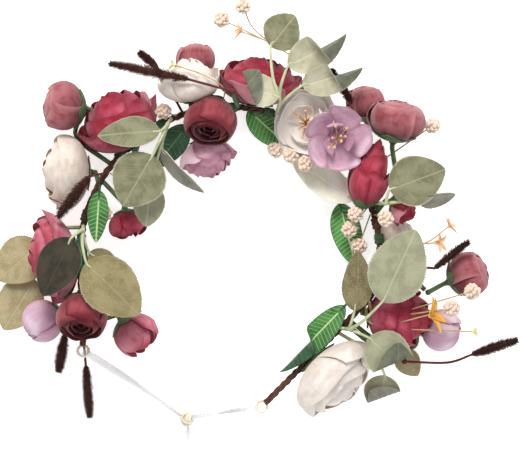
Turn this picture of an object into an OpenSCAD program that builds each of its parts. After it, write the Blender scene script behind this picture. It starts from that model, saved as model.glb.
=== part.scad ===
// Flower crown: a horseshoe of paper-covered twig wire, dressed with fabric
// roses, buds, tulips, eucalyptus, banana leaves, bristle spikes and foam berries,
// and closed at the back of the head by an organza ribbon knotted, with two loose tails.
//
// The crown lies on the plane z = 0. The origin is the centre of the head opening,
// +Y points to the wearer's forehead and the tied gap is at -Y.
// Places are polar: [angle round the crown, distance from its centre, height].

/* [Ring] */
// Radius of the twig ring's centre line
ring_r = 93; // [91:0.5:95]
// Height of the twig wire above the table
ring_z = 24; // [23:0.5:25]
// Radius of the twisted twig wire
wire_r = 2.2; // [1.6:0.1:2.4]
// Angle where the right arm starts to bend
right_bend = 36; // [34:1:38]
// Angle where the left arm starts to bend
left_bend = 187; // [186:1:188]

/* [Stems] */
// Radius of a bloom's moulded stem
stem_r = 1.5; // [1:0.1:1.8]
// Radius of a leaf's stem
leaf_stem_r = 1.2; // [0.9:0.1:1.3]
// Radius of a spike's, berry's or seed star's thin stem
twig_r = 0.8; // [0.6:0.1:0.9]
// Thickness of a fabric leaf
leaf_t = 0.6; // [0.4:0.1:0.8]

/* [Ribbon] */
// Width of the ribbon tails
tail_w = 24; // [18:1:26]
// Length of the ribbon tails beyond the knot
tail_len = 90; // [60:5:100]

/* [Hidden] */
$fn = 32;
bend_gap = 0.6;       // half the clear gap between two wires at a bend
tape_t = 0.8;         // thickness of the floral tape
fit_gap = 0.05;       // clearance of a part wrapped round another
profile_steps = 14;   // facets of a bloom's half profile
leaf_steps = 9;       // points along one edge of a leaf
joint_bead = 1.3;     // a stem's bead at a corner, as a share of its radius
branch_step = 0.14;   // how far apart leaves leave a sprig's stem, as a share of its last stretch
hinge_gap = 0.4;      // clear gap between a posable stem's foot and the stub that holds it
calyx_rise = 0.45;    // how far a calyx reaches up its bloom, as a share of the half depth
calyx_neck = 3;       // how far a calyx starts below its bloom
berry_r = 5.2;         // a foam berry cluster's mean radius
berry_lump = 0.1;      // how far its grains stand out and in, as a share of the radius
berry_steps = 16;      // facets of a cluster's half profile, four to a grain

// Colours of the blooms and leaves
RED = [0.66, 0.16, 0.24];
BURGUNDY = [0.50, 0.14, 0.20];
CREAM = [0.95, 0.88, 0.83];
LILAC = [0.80, 0.58, 0.72];
SAGE = [0.62, 0.67, 0.52];
PALE_SAGE = [0.76, 0.74, 0.52];
GREEN = [0.13, 0.42, 0.16];
BARK = [0.28, 0.16, 0.12];
CALYX = [0.22, 0.33, 0.20];
SPIKE = [0.30, 0.12, 0.11];
GOLD = [0.86, 0.62, 0.28];
BERRY = [0.93, 0.86, 0.78];
ORGANZA = [0.97, 0.97, 0.98];

// Right arm of the ring, from its bend: on the ring, round a tighter corner, then straight
right_arc = 18;
right_corner_r = 35;
right_corner = 40;
right_straight = 86;
// Left arm: on the ring, then straight
left_arc = 18;
left_straight = 52;
eye_r = 3.4;
eye_wire_r = 0.9;
tape_len = 6;           // width of a band of floral tape or bend binding

// Blooms: [node, colour, place, [facing azimuth, tilt], radius, half depth, calyx size, stem's route]
// calyx size is a share of the radius. The stem runs from the calyx by the route's places, the last
// of them on the wire.
FRONT_BLOOMS = [
    ["red_rose_1", RED, [152, 111, 23], [140, 6], 22.5, 14, 0.3, [[150, 93, 24]]],
    ["red_rose_2", RED, [104, 112, 25.5], [108, 5], 25, 14.5, 0.3, [[104, 93, 24]]],
    ["red_rosebud", RED, [54, 101, 39.5], [98, 12], 12, 18, 0.5, [[49, 92, 25]]],
    ["small_red_tulip_1", RED, [38, 111, 36], [353, 5], 9, 9, 0.5, [[40, 95, 22]]],
    ["small_red_tulip_2", RED, [186, 67, 14], [303, 5], 10.5, 10, 0.5, [[172, 93, 24]]],
    ["cream_rose_1", CREAM, [176, 116, 20.5], [204, 4], 20, 14.5, 0.3, [[174, 93, 24]]],
    ["cream_rose_2", CREAM, [126, 113, 41], [125, 50], 17, 12, 0.3, [[124, 93, 24]]],
    ["cream_rose_3", CREAM, [85, 97, 39.4], [203, 50], 16, 10, 0.4, [[79, 93, 24]]],
    ["burgundy_bud_1", BURGUNDY, [161, 139, 30], [198, 8], 15, 13.5, 0.6,
        [[158, 128, 12], [165, 122, 14], [165, 93, 24]]],
    ["burgundy_bud_2", BURGUNDY, [123, 123, 12.8], [116, 4], 12.5, 12, 0.5, [[119, 94, 23]]],
    ["burgundy_bud_3", BURGUNDY, [121, 84, 43.5], [303, 16], 15.5, 14, 0.5, [[121, 92, 25]]],
    ["burgundy_bud_4", BURGUNDY, [72, 127, 27], [121, 10], 12, 11.5, 0.6, [[62, 93, 24]]],
    ["burgundy_bud_5", BURGUNDY, [62, 137, 42], [103, 12], 15.5, 13.5, 0.6,
        [[44, 110, 32], [42, 95, 23]]],
    ["lilac_tulip_1", LILAC, [126, 62, 15.2], [308, 3], 15, 14, 0.4, [[128, 93, 24]]],
    ["lilac_tulip_2", LILAC, [69, 103, 48], [123, 50], 14, 12, 0.4, [[66, 93, 24]]],
];
LEFT_BLOOMS = [
    ["red_rose_3", RED, [203, 111, 25.5], [213, 4], 25, 14, 0.3, [[200, 93, 24]]],
    ["lilac_tulip_3", LILAC, [222, 124, 14], [233, 2], 12.5, 13, 0.4, [[217, 96, 24]]],
    ["burgundy_bud_6", BURGUNDY, [225, 98, 42.5], [303, 12], 15, 14, 0.5, [[216, 96, 24]]],
    ["burgundy_bud_7", BURGUNDY, [243, 76, 14.5], [338, 4], 13, 12.5, 0.6, [[228, 102, 24]]],
];
RIGHT_BLOOMS = [
    ["cream_rose_4", CREAM, [29, 109, 14.5], [60, 8], 13, 11, 0.3, [[29, 93, 24]]],
    ["red_rose_4", RED, [4, 109.5, 20.5], [18, 4], 20, 13.5, 0.3, [[5, 88, 24]]],
    ["lilac_tulip_4", LILAC, [4, 140, 12.8], [8, 2], 12.5, 12, 0.4,
        [[357, 128, 8], [353, 112, 8], [355, 84, 22]]],
    ["cream_rose_5", CREAM, [334, 103, 25.5], [337, 3], 25, 16, 0.3, [[338, 79, 24]]],
];
RIGHT_BUD = ["right_bud", BURGUNDY, [19, 148, 31], [45, 6], 13, 12.5, 0.6, [[13, 124, 35]]];

// Leaves: [base, [azimuth, pitch, roll], length, width]. A sprig's stem runs from the wire.
LEFT_SPRIG_STEM = [[136, 93, 26], [138, 90, 46]];
LEFT_SPRIG = [
    [[150, 78, 50], [262, -3, 5], 36, 34],
    [[142, 88, 52], [205, -2, 22], 38, 20],
    [[160, 66, 40], [286, -8, 0], 27, 20],
    [[145, 78, 42], [331, -8, 60], 37, 16],
];
TOP_SPRIG_STEM = [[95, 93, 26], [95, 100, 55]];
TOP_SPRIG = [
    [[102, 131, 52], [75, -14, 8], 26, 24],
    [[96, 102, 58], [186, 3, 24], 30, 22],
    [[96, 122, 56], [62, -4, 14], 42, 23],
    [[90, 114, 52], [50, 2, 18], 40, 20],
];
RIGHT_SPRIG_STEM = [[44, 94, 26], [42, 101, 50]];
RIGHT_SPRIG = [
    [[46, 106, 53], [43, 1, 4], 36, 31],
    [[40, 120, 48], [27, -6, 50], 24, 14],
];
LOW_RIGHT_LEAF_STEM = [[52, 92, 25]];
LOW_RIGHT_LEAF = [[[48, 84, 27], [169, -4, 8], 45, 24]];
LEFT_ARM_SPRIG_STEM = [[191, 93, 26], [192, 91, 49]];
LEFT_ARM_SPRIG = [
    [[196, 97, 54], [267, 1, 4], 39, 26],
    [[205, 87, 56.5], [339, 2, -5], 45, 34],
    [[201, 86, 44], [350, -8, 6], 22, 15],
];
PALE_SPRIG_STEM = [[191.5, 93, 23], [190, 127, 9]];
PALE_SPRIG = [
    [[200, 129, 10], [246, 3, 4], 34, 28],
    [[211, 131, 4], [264, 1, -3], 36, 26],
];
RIGHT_ARM_SPRIG_STEM = [[350.5, 82, 26], [352, 86, 42]];
RIGHT_ARM_SPRIG = [
    [[7, 97, 52], [88, 2, 4], 48, 35],
    [[0, 83, 44], [107, 2, 30], 36, 22],
    [[353, 98, 47], [341, -2, -14], 36, 29],
];
LOW_SPRIG_STEM = [[348, 81.5, 22], [349, 106, 8]];
LOW_SPRIG = [[[354, 121, 3.5], [330, 0, 0], 20, 16]];
LOW_LOOSE_LEAF = [[[345.5, 122, 8], [283, 0, 4], 24, 23]];
// Veined banana leaves: the same row
FRONT_GREEN = [
    [[106, 92, 19], [341, -4, 6], 36, 19],
    [[49, 76, 16], [307, 0, 8], 41, 19],
    [[176, 90.5, 29.5], [289, 0, 0], 32, 13],
    [[131, 86, 20], [255, -3, 0], 34, 17],
];
LEFT_GREEN = [[[194.5, 93.5, 31], [296, 0, 0], 33, 8]];
RIGHT_GREEN = [[[0, 77, 29.5], [249, 0, -6], 57, 15]];

// Bristle spikes: [stem's route to the start of the head, tip, head radius]
TOP_SPIKE = [[[112, 101, 57], [126, 111, 61]], [145, 139, 58], 3.4];
LEFT_SPIKE = [[[231, 104, 14], [240, 113, 12]], [252, 134, 9], 3.2];
RIGHT_SPIKE = [[[352, 127, 10], [357, 151, 8], [1, 163, 11]], [7, 187, 14], 3.2];
FRONT_SPIKES = [
    [[[76, 93, 25], [75, 121, 40]], [85, 131, 42], 3.0],
    [[[169, 93, 25], [173, 99, 47]], [190, 108, 44], 3.4],
    [[[131, 93, 25], [134, 126, 20]], [137, 140, 16], 2.6],
];
LEFT_SHORT_SPIKE = [[[220, 97, 22], [228, 113, 21]], [237, 129, 17], 3.2];
RIGHT_SHORT_SPIKE = [[[20, 93, 25], [20, 126, 40]], [27, 147, 45], 3.2];

// Foam berry clusters: the stem's route, which ends at the cluster's centre
FRONT_BERRIES = [
    [[66, 91, 25], [90, 72, 29]],
    [[65, 91, 25], [82, 73, 34]],
    [[64, 91, 25], [74, 74, 38]],
    [[47, 91, 23], [42, 82, 36]],
    [[43, 91, 23], [36, 76, 31]],
    [[40, 91, 23], [28, 80, 27]],
    [[39.5, 93, 25], [37, 98, 51]],
    [[133.5, 93, 25], [137.5, 99, 34]],
    [[55, 93, 25], [56, 149, 30]],
    [[181, 91, 23], [184, 83, 22]],
    [[168, 91, 23], [169, 61, 27]],
];
top_seed_foot = [90, 128, 18];
TOP_BERRIES = [
    [top_seed_foot, [106, 140, 26], [110, 155, 34]],
    [[98, 133, 20], [115, 147, 30]],
];
RIGHT_BERRIES = [
    [[8, 88, 25], [2, 100, 46], [15, 149, 51]],
    [[2, 100, 46], [10, 139, 49]],
];
// Seed stars: [the stem's route, which ends at the star, ray length]
FRONT_STARS = [[[[116, 95, 25], [115, 103, 54], [121, 112, 57], [129, 122, 53]], 4]];
TOP_STARS = [
    [[[99, 134, 27], [110, 139, 37]], 5],
];
RIGHT_STARS = [
    [[[4, 88, 25], [358, 100, 44], [7, 127, 47]], 7],
    [[[358, 100, 44], [6, 156, 42]], 4],
    [[[27, 93, 25], [27, 119, 34], [31, 136, 36]], 4],
    [[[27, 119, 34], [27, 128, 42]], 4],
];

// Fixed stubs that hold the posable sprigs: [route], ending just short of the sprig's foot
FRONT_STUBS = [
    [[110, 93, 24], [112, 101, 57]],
    [[90, 93, 22], top_seed_foot],
];
LEFT_STUBS = [[[231, 104, 24], [231, 104, 14]]];
RIGHT_STUBS = [
    [[353, 82.5, 22], [351, 110, 13], [352, 127, 10]],
    [[19, 93, 24], [18, 108, 28], [13, 124, 35]],
];

// Ribbon
left_eye = [235, 111, 24];
right_eye = [305, 99, 24];
tie_knot = [278, 105, 6];
tie_r = 2;              // gathered ribbon
tie_gap = 6.5;          // from the knot's centre to the end of a gathered ribbon
knot_r = 5;
knot_half_height = 4.5;
tail_azimuths = [278, 303];
tail_t = 1;
tail_neck_w = 8;        // a tail's width at the knot
tail_flare = 30;        // where a tail reaches its full width
tail_notch = 7;         // depth of the notch in a tail's end

// ---- Geometry helpers ----

function spot(p) = [p[1] * cos(p[0]), p[1] * sin(p[0]), p[2]];
function heading(azimuth, tilt) = [cos(azimuth) * cos(tilt), sin(azimuth) * cos(tilt), sin(tilt)];
// Widest in the middle, a point at the tip and a short neck at the base
function leaf_half_width(t, width) = width / 2 * pow(sin(180 * pow(t, 0.8)), 0.75);

// Puts the children at one place, with their +Z toward another
module along(from, to) {
    d = to - from;
    translate(from) rotate([0, acos(d[2] / norm(d)), atan2(d[1], d[0])]) children();
}

// Round rod from one place to another, with a bead on its far end
module rod(from, to, r, bead_r = 0) {
    along(from, to) {
        cylinder(h = norm(to - from), r = r, $fn = 16);
        if (bead_r > 0) translate([0, 0, norm(to - from)]) sphere(r = bead_r, $fn = 16);
    }
}

// Rods along a route of places, with a bead at each corner
module stem(route, r) {
    for (i = [1:len(route) - 1]) {
        rod(spot(route[i - 1]), spot(route[i]), r, i < len(route) - 1 ? r * joint_bead : 0);
    }
}

// Puts +Z of the children along a heading, at a place
module face(place, azimuth, tilt) {
    translate(spot(place)) rotate([0, 90 - tilt, azimuth]) children();
}

// Body of revolution with an elliptical section
module spheroid(r, half_depth) {
    rotate_extrude($fn = 48)
        polygon([for (i = [0:profile_steps])
            let (a = 180 * i / profile_steps) [r * sin(a), -half_depth * cos(a)]]);
}

// ---- Pieces ----

module bloom(b) {
    color(b[1]) face(b[2], b[3][0], b[3][1]) spheroid(b[4], b[5]);
}

// Moulded green calyx cup under a bloom, with its stem
module bloom_stem(b, foot_r = 0) {
    cup_r = b[4] * b[6];
    cup_h = b[5] * calyx_rise + calyx_neck;
    base = b[5] + calyx_neck;
    color(CALYX) {
        face(b[2], b[3][0], b[3][1])
            difference() {
                translate([0, 0, -base]) cylinder(h = cup_h, r1 = stem_r + 0.5, r2 = cup_r);
                spheroid(b[4] + fit_gap, b[5] + fit_gap);
            }
        rod(spot(b[2]) - (base - 0.5) * heading(b[3][0], b[3][1]), spot(b[7][0]), stem_r,
            len(b[7]) > 1 ? stem_r * joint_bead : foot_r);
        if (len(b[7]) > 1) stem(b[7], stem_r);
    }
}

// A stub that stops short of a posable sprig's foot
module stub(route) {
    last = len(route) - 1;
    foot = spot(route[last]);
    back = spot(route[last - 1]) - foot;
    end = foot + back / norm(back) * (joint_bead * stem_r + hinge_gap);
    color(CALYX) {
        if (last > 1) stem([for (i = [0:last - 1]) route[i]], stem_r);
        rod(end, spot(route[last - 1]), stem_r, last > 1 ? stem_r * joint_bead : 0);
    }
}

// The bead at a posable sprig's foot
module foot_bead(route) {
    color(CALYX) along(spot(route[0]), spot(route[1])) sphere(r = stem_r * joint_bead, $fn = 24);
}

module leaf_plate(length, width) {
    top = [for (i = [0:leaf_steps]) let (t = i / leaf_steps) [length * t, leaf_half_width(t, width)]];
    bottom = [for (i = [leaf_steps - 1:-1:1]) [top[i][0], -top[i][1]]];
    linear_extrude(height = leaf_t, center = true) polygon(concat(top, bottom));
}

module leaf(row) {
    translate(spot(row[0]))
        rotate([0, 0, row[1][0]]) rotate([0, -row[1][1], 0]) rotate([row[1][2], 0, 0]) {
            leaf_plate(row[2], row[3]);
            rotate([0, 90, 0]) cylinder(h = row[2] * 0.5, r = leaf_stem_r * 0.7, $fn = 16);
        }
}

// Where leaf i leaves its sprig's stem: the first at the end, the others further back
function branch(route, i) =
    let (last = len(route) - 1, end = spot(route[last]))
    last == 0 ? end : end + i * branch_step * (spot(route[last - 1]) - end);

// Leaves on stems that share one stem from the wire
module sprig(route, rows, colour) {
    color(colour) {
        if (len(route) > 1) stem(route, leaf_stem_r);
        for (i = [0:len(rows) - 1]) {
            from = branch(route, i);
            translate(from) sphere(r = leaf_stem_r * joint_bead, $fn = 16);
            rod(from, spot(rows[i][0]), leaf_stem_r * 0.8, leaf_stem_r * joint_bead);
            leaf(rows[i]);
        }
    }
}

module loose_leaves(rows, colour) {
    color(colour) for (row = rows) leaf(row);
}

module spike(row) {
    start = spot(row[0][len(row[0]) - 1]);
    tip = spot(row[1]);
    length = norm(tip - start);
    color(SPIKE) {
        stem(row[0], twig_r);
        along(start, tip) translate([0, 0, length / 2 - 1]) spheroid(row[2], length / 2 + 1);
    }
}

module berry_cluster(route) {
    color(GOLD) stem(route, twig_r);
    color(BERRY) translate(spot(route[len(route) - 1]))
        rotate_extrude($fn = 32)
            polygon([for (i = [0:berry_steps])
                let (a = 180 * i / berry_steps, r = berry_r * (1 + berry_lump * cos(360 * i / 4)))
                    [r * sin(a), -r * cos(a)]]);
}

module seed_star(row) {
    color(GOLD) {
        stem(row[0], twig_r);
        translate(spot(row[0][len(row[0]) - 1])) {
            sphere(r = twig_r * 1.8, $fn = 24);
            for (turn = [0:72:288])
                rotate([0, 60, turn]) cylinder(h = row[1], r1 = twig_r, r2 = row[1] * 0.22, $fn = 16);
        }
    }
}

// Twig wire that follows the ring from one angle to another
module ring_wire(from, to, r) {
    rotate([0, 0, from]) rotate_extrude(angle = to - from, $fn = 96)
        translate([ring_r, 0]) circle(r = r, $fn = 24);
}

// Floral tape wound round the ring wire
module tape_band(angle, length) {
    half = length / ring_r * 90 / PI;
    rotate([0, 0, angle - half]) rotate_extrude(angle = 2 * half, $fn = 96)
        translate([ring_r, 0]) difference() {
            circle(r = wire_r + tape_t, $fn = 24);
            circle(r = wire_r + fit_gap, $fn = 24);
        }
}

// Moves to the end of the right arm's arc, with +Y running on along the wire
module right_arm_end() {
    rotate([0, 0, right_bend - right_arc]) translate([ring_r, 0, 0]) mirror([0, 1, 0]) children();
}

module right_arm_tail() {
    right_arm_end()
        translate([-right_corner_r, 0, 0]) rotate([0, 0, right_corner])
            translate([right_corner_r, 0, 0]) children();
}

module right_arm_wire(r) {
    gap = bend_gap / ring_r * 180 / PI;
    ring_wire(right_bend - right_arc, right_bend - gap, r);
    right_arm_end() translate([-right_corner_r, 0, 0])
        rotate_extrude(angle = right_corner, $fn = 96)
            translate([right_corner_r, 0]) circle(r = r, $fn = 24);
    right_arm_tail() rotate([-90, 0, 0]) cylinder(h = right_straight, r = r, $fn = 24);
}

module left_arm_tail() {
    rotate([0, 0, left_bend + left_arc]) translate([ring_r, 0, 0]) children();
}

module left_arm_wire(r) {
    gap = bend_gap / ring_r * 180 / PI;
    ring_wire(left_bend + gap, left_bend + left_arc, r);
    left_arm_tail() rotate([-90, 0, 0]) cylinder(h = left_straight, r = r, $fn = 24);
}

// Eye bent from the wire's own end, for the ribbon
module wire_eye() {
    translate([0, eye_r - eye_wire_r / 2, 0]) rotate_extrude($fn = 48)
        translate([eye_r, 0]) circle(r = eye_wire_r, $fn = 16);
}

module front_twig_wire() {
    gap = bend_gap / ring_r * 180 / PI;
    color(BARK) translate([0, 0, ring_z]) ring_wire(right_bend + gap, left_bend - gap, wire_r);
}

module left_twig_wire() {
    color(BARK) translate([0, 0, ring_z]) {
        left_arm_wire(wire_r);
        left_arm_tail() translate([0, left_straight, 0]) wire_eye();
    }
}

module right_twig_wire() {
    color(BARK) translate([0, 0, ring_z]) {
        right_arm_wire(wire_r);
        right_arm_tail() translate([0, right_straight, 0]) wire_eye();
    }
}

module bend_binding(angle) {
    color(BARK) translate([0, 0, ring_z]) tape_band(angle, tape_len);
}

module floral_tape(angles) {
    color(CALYX) translate([0, 0, ring_z]) for (a = angles) tape_band(a, tape_len);
}

// ---- Ribbon ----

// Ribbon gathered into a strand, from an eye to just short of the knot
module ribbon_tie(eye) {
    from = spot(eye);
    knot = spot(tie_knot);
    back = from - knot;
    color(ORGANZA) rod(from, knot + back / norm(back) * tie_gap, tie_r);
}

module ribbon_knot() {
    color(ORGANZA) translate(spot(tie_knot)) spheroid(knot_r, knot_half_height);
}

module ribbon_tails() {
    knot = spot(tie_knot);
    color(ORGANZA)
        for (i = [0, 1])
            translate([knot[0], knot[1], i * tail_t])
                rotate([0, 0, tail_azimuths[i]])
                    linear_extrude(height = tail_t)
                        polygon([[knot_r + 1, -tail_neck_w / 2], [tail_flare, -tail_w / 2],
                                 [tail_len, -tail_w / 2], [tail_len - tail_notch, 0],
                                 [tail_len, tail_w / 2], [tail_flare, tail_w / 2],
                                 [knot_r + 1, tail_neck_w / 2]]);
}

// ---- Nodes ----

for (list = [FRONT_BLOOMS, LEFT_BLOOMS, RIGHT_BLOOMS, [RIGHT_BUD]], b = list)
    bloom(b);

front_twig_wire();
floral_tape([70, 98, 112, 140, 160]);  // front_floral_tape
union() {  // front_bloom_stems
    for (b = FRONT_BLOOMS) bloom_stem(b);
    for (route = FRONT_STUBS) stub(route);
}
sprig(LEFT_SPRIG_STEM, LEFT_SPRIG, SAGE);  // left_sprig
sprig(TOP_SPRIG_STEM, TOP_SPRIG, SAGE);  // top_sprig
union() {  // right_sprig
    sprig(RIGHT_SPRIG_STEM, RIGHT_SPRIG, SAGE);
    sprig(LOW_RIGHT_LEAF_STEM, LOW_RIGHT_LEAF, SAGE);
}
loose_leaves(FRONT_GREEN, GREEN);  // front_green_leaves
union() {  // front_berries
    for (route = FRONT_BERRIES) berry_cluster(route);
    for (row = FRONT_STARS) seed_star(row);
}
for (row = FRONT_SPIKES) spike(row);  // front_short_spikes
union() {  // top_seed_sprig
    foot_bead(TOP_BERRIES[0]);
    for (route = TOP_BERRIES) berry_cluster(route);
    for (row = TOP_STARS) seed_star(row);
}
union() {  // top_spike
    foot_bead(TOP_SPIKE[0]);
    spike(TOP_SPIKE);
}
ribbon_knot();
ribbon_tails();
ribbon_tie(left_eye);  // left_ribbon_tie
ribbon_tie(right_eye);  // right_ribbon_tie
bend_binding(left_bend);  // left_bend_binding
bend_binding(right_bend);  // right_bend_binding
left_twig_wire();
floral_tape([196, 203]);  // left_floral_tape
union() {  // left_bloom_stems
    for (b = LEFT_BLOOMS) bloom_stem(b);
    for (route = LEFT_STUBS) stub(route);
}
sprig(LEFT_ARM_SPRIG_STEM, LEFT_ARM_SPRIG, SAGE);  // left_arm_sprig
sprig(PALE_SPRIG_STEM, PALE_SPRIG, PALE_SAGE);  // left_pale_leaves
loose_leaves(LEFT_GREEN, GREEN);  // left_green_leaf
spike(LEFT_SHORT_SPIKE);  // left_short_spike
union() {  // left_spike
    foot_bead(LEFT_SPIKE[0]);
    spike(LEFT_SPIKE);
}
right_twig_wire();
floral_tape([23, 30]);  // right_floral_tape
union() {  // right_bloom_stems
    for (b = RIGHT_BLOOMS) bloom_stem(b);
    for (route = RIGHT_STUBS) stub(route);
}
sprig(RIGHT_ARM_SPRIG_STEM, RIGHT_ARM_SPRIG, SAGE);  // right_arm_sprig
union() {  // right_low_leaves
    sprig(LOW_SPRIG_STEM, LOW_SPRIG, SAGE);
    loose_leaves(LOW_LOOSE_LEAF, SAGE);
}
loose_leaves(RIGHT_GREEN, GREEN);  // right_green_leaf
union() {  // right_seed_sprig
    for (route = RIGHT_BERRIES) berry_cluster(route);
    for (row = RIGHT_STARS) seed_star(row);
}
spike(RIGHT_SHORT_SPIKE);  // right_short_spike
union() {  // right_spike
    foot_bead(RIGHT_SPIKE[0]);
    spike(RIGHT_SPIKE);
}
bloom_stem(RIGHT_BUD, stem_r * joint_bead);  // right_bud_stem
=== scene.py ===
"""Looks of the flower crown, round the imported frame.

Tables are in millimetres and degrees, in the part's own polar places: [angle round the crown,
distance from its centre, height]. Everything made here is in metres.
"""
import math

import bpy
import numpy as np
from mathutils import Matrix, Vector


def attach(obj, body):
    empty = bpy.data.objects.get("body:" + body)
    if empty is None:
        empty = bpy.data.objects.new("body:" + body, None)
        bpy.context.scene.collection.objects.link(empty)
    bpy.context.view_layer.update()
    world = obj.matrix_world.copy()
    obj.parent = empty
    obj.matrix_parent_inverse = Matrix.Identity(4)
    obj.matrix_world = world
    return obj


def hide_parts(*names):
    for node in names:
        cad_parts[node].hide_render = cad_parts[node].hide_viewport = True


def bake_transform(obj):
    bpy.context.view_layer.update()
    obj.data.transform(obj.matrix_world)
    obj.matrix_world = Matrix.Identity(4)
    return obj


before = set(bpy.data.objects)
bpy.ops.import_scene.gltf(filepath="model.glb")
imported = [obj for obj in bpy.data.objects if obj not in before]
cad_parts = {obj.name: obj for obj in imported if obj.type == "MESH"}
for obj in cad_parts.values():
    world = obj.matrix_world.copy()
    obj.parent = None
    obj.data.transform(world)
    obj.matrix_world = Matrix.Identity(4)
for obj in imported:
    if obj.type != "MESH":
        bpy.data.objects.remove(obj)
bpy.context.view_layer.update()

MM = 0.001
rng = np.random.default_rng(7)

# ---- camera, light, floor
PHOTO_AZIMUTH = 23          # the picture's right, in the crown's own angles
AIM = (10.6, 24.1, 24)      # what the middle of the picture shows
PICTURE_WIDTH = 323.6       # at the height of the aim
CAMERA_HEIGHT = 1600
SENSOR = 36
WORLD_LIGHT = 0.62
FLOOR_GLOW = 0.6

cam = bpy.data.objects.new("camera", bpy.data.cameras.new("camera"))
bpy.context.collection.objects.link(cam)
cam.location = (AIM[0] * MM, AIM[1] * MM, CAMERA_HEIGHT * MM)
cam.rotation_euler = (0, 0, math.radians(PHOTO_AZIMUTH))
cam.data.sensor_width = SENSOR
cam.data.lens = SENSOR * (CAMERA_HEIGHT - AIM[2]) / PICTURE_WIDTH
cam.data.clip_start, cam.data.clip_end = 0.05, 20
bpy.context.scene.camera = cam
bpy.context.scene.view_settings.view_transform = "Standard"


def area_light(name, place, size, power, colour):
    data = bpy.data.lights.new(name, "AREA")
    data.shape, data.size, data.energy, data.color = "DISK", size, power, colour
    lamp = bpy.data.objects.new(name, data)
    lamp.location = place
    lamp.rotation_euler = Vector(place).to_track_quat("Z", "Y").to_euler()
    bpy.context.collection.objects.link(lamp)


area_light("key", (-0.5, 0.75, 1.1), size=0.55, power=17, colour=(1, 0.98, 0.95))
area_light("fill", (0.9, -0.5, 0.9), size=0.9, power=3.5, colour=(0.95, 0.97, 1))

world = bpy.data.worlds.new("studio")
bpy.context.scene.world = world
world.use_nodes = True
world.node_tree.nodes["Background"].inputs[0].default_value = (1, 1, 1, 1)
world.node_tree.nodes["Background"].inputs[1].default_value = WORLD_LIGHT


# ---- small geometry helpers
def spot(place):
    a = math.radians(place[0])
    return np.array([place[1] * math.cos(a), place[1] * math.sin(a), place[2]]) * MM


def turn(axis, degrees):
    a = math.radians(degrees)
    c, s = math.cos(a), math.sin(a)
    if axis == "x":
        return np.array([[1, 0, 0], [0, c, -s], [0, s, c]])
    if axis == "y":
        return np.array([[c, 0, s], [0, 1, 0], [-s, 0, c]])
    return np.array([[c, -s, 0], [s, c, 0], [0, 0, 1]])


def heading(azimuth, pitch):
    """Turns +X to a heading, as a leaf lies in the part."""
    return turn("z", azimuth) @ turn("y", -pitch)


def facing(azimuth, tilt):
    """Turns +Z to a heading, as the part's own face() does."""
    return turn("z", azimuth) @ turn("y", 90 - tilt)


def unit(v):
    return v / np.maximum(np.linalg.norm(v, axis=-1, keepdims=True), 1e-12)


def smooth_route(points, per=7):
    """A curve through the points, in metres."""
    p = np.array(points, float)
    if len(p) == 2:
        return p[0] + np.linspace(0, 1, per)[:, None] * (p[1] - p[0])
    ends = np.vstack([2 * p[0] - p[1], p, 2 * p[-1] - p[-2]])
    out = []
    for i in range(1, len(ends) - 2):
        a, b, c, d = ends[i - 1:i + 3]
        for t in np.linspace(0, 1, per, endpoint=False):
            out.append(0.5 * (2 * b + (c - a) * t + (2 * a - 5 * b + 4 * c - d) * t * t
                              + (3 * b - a - 3 * c + d) * t ** 3))
    return np.array(out + [p[-1]])


def curve(route):
    return smooth_route([spot(p) for p in route])


def around(axis, hint):
    """Two directions square to an axis and to each other."""
    side = unit(np.cross(axis, hint))
    return side, np.cross(axis, side)


def grid(rows, cols):
    """Places along a sheet, 0..1, and across it, -1..1."""
    return np.linspace(0, 1, rows)[:, None], np.linspace(-1, 1, cols)[None, :]


def fields(*parts):
    """Three values at each point of a grid."""
    return np.stack(np.broadcast_arrays(*parts), -1)


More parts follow.
